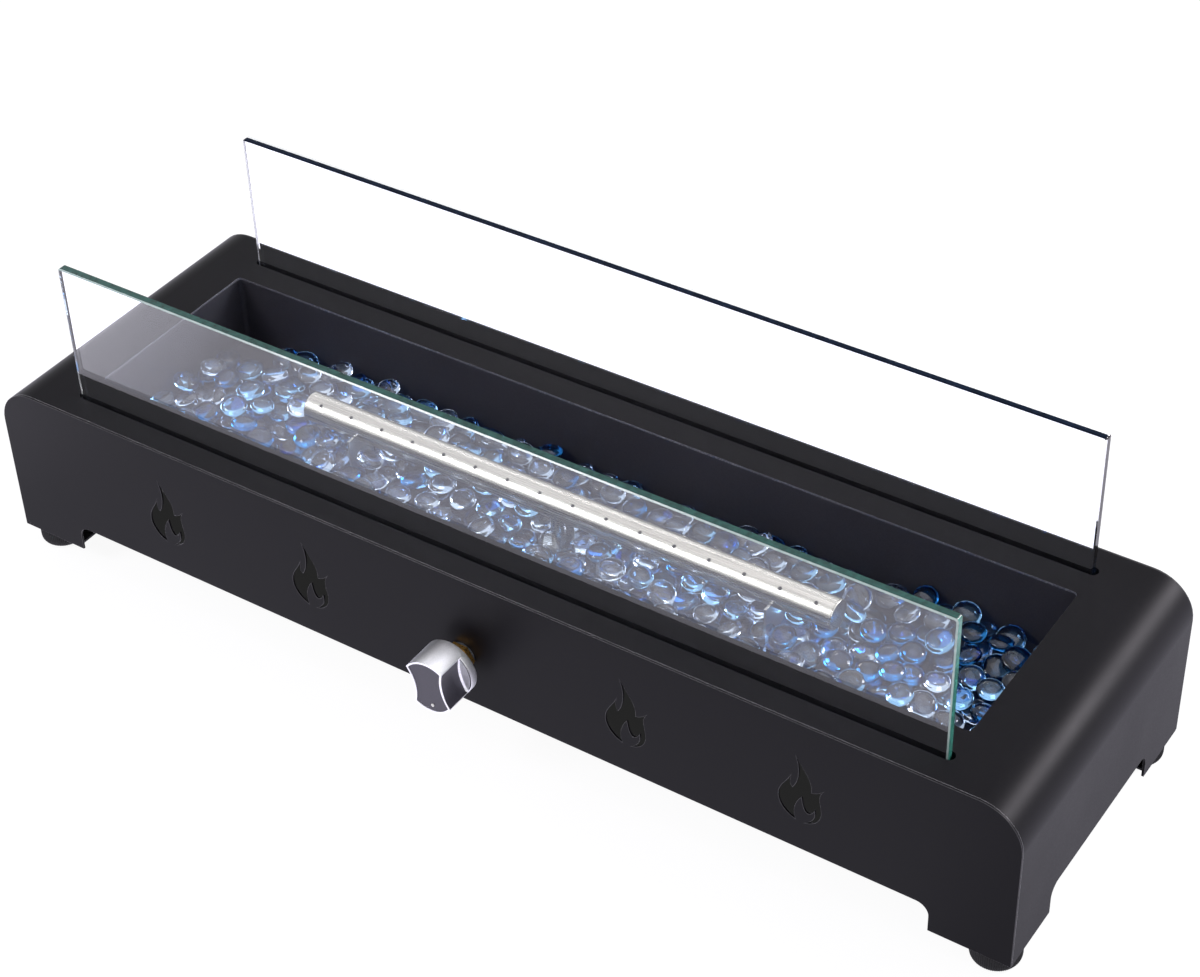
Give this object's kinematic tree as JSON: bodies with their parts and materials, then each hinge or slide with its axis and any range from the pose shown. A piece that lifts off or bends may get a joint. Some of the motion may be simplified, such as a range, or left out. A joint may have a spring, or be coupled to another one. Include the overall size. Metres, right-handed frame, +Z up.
{
  "type": "tabletop gas fire pit",
  "caption": "Long black steel tabletop gas fire pit: glass bead bed round a straight burner tube, lift-out glass wind guards, press-and-turn tap and round feet.",
  "frame": {"origin": "middle of the bounding box, at the plane the feet stand on", "axes": "+Z up, +X along the case to the right as seen by someone facing the tap, -Y out of the front plate towards that person"},
  "size_m": [0.711, 0.27, 0.222],
  "materials": {
    "black_powder_coat": "satin black powder coat with a fine orange peel",
    "dark_tray_coat": "matt dark grey heat-resistant coat",
    "black_rubber": "moulded black rubber, ribbed on the feet",
    "zinc_plate": "zinc-plated steel",
    "stainless_steel": "drawn stainless tube, lightly brushed along its length",
    "brass": "turned brass",
    "satin_chrome": "satin chrome with polished edges",
    "slate_inlay": "slate grey metallic paint",
    "white_dot": "white enamel",
    "clear_glass": "clear tempered glass with green polished edges",
    "blue_bead_glass": "tumbled glass beads, pale blue to cobalt blue"
  },
  "bodies": {
    "case": {"case_wrap": "black_powder_coat", "front_plate": "black_powder_coat", "rear_plate": "black_powder_coat", "leg_bracket_front_left": "dark_tray_coat", "leg_bracket_front_right": "dark_tray_coat", "leg_bracket_rear_left": "dark_tray_coat", "leg_bracket_rear_right": "dark_tray_coat", "foot_front_left": "black_rubber", "foot_front_right": "black_rubber", "foot_rear_left": "black_rubber", "foot_rear_right": "black_rubber", "foot_screws": "zinc_plate", "foot_nuts": "zinc_plate", "fire_tray": "dark_tray_coat", "tray_nuts": "zinc_plate", "glass_channel_front": "dark_tray_coat", "glass_channel_rear": "dark_tray_coat", "glass_strip_front": "black_rubber", "glass_strip_rear": "black_rubber", "burner_tube": "stainless_steel", "burner_cap_left": "stainless_steel", "burner_cap_right": "stainless_steel", "burner_saddle_left": "zinc_plate", "burner_saddle_right": "zinc_plate", "saddle_screws": "zinc_plate", "saddle_nuts": "zinc_plate", "mixer_tube": "stainless_steel", "mixer_locknut": "zinc_plate", "gas_jet": "brass", "feed_pipe": "brass", "feed_nuts": "brass", "valve_body": "brass", "valve_washer": "zinc_plate", "valve_nut": "brass", "valve_spring": "stainless_steel", "supply_pipe": "brass", "supply_nuts": "brass", "inlet_fitting": "brass", "inlet_washer": "zinc_plate", "inlet_locknut": "brass", "bead_bed": "blue_bead_glass", "glass_beads": "blue_bead_glass"},
    "tap_press": {"thrust_washer": "zinc_plate"},
    "tap_knob": {"valve_stem": "zinc_plate", "knob": "satin_chrome", "knob_face": "slate_inlay", "knob_dot": "white_dot"},
    "front_guard": {"glass_front": "clear_glass"},
    "rear_guard": {"glass_rear": "clear_glass"}
  },
  "joints": [
    {"name": "knob_press", "type": "slide", "parent": "case", "child": "tap_press", "axis": [0, 1, 0], "range_m": [0, 0.003], "stiffness_N_per_m": 1500, "springref_m": -0.004, "deforming": ["valve_spring"]},
    {"name": "knob_turn", "type": "hinge", "parent": "tap_press", "child": "tap_knob", "pos_m": [0, -0.101, 0.069], "axis": [0, -1, 0], "range_deg": [0, 225]},
    {"name": "front_guard_lift", "type": "slide", "parent": "case", "child": "front_guard", "axis": [0, 0, 1], "range_m": [0, 0.04]},
    {"name": "rear_guard_lift", "type": "slide", "parent": "case", "child": "rear_guard", "axis": [0, 0, 1], "range_m": [0, 0.04]}
  ]
}
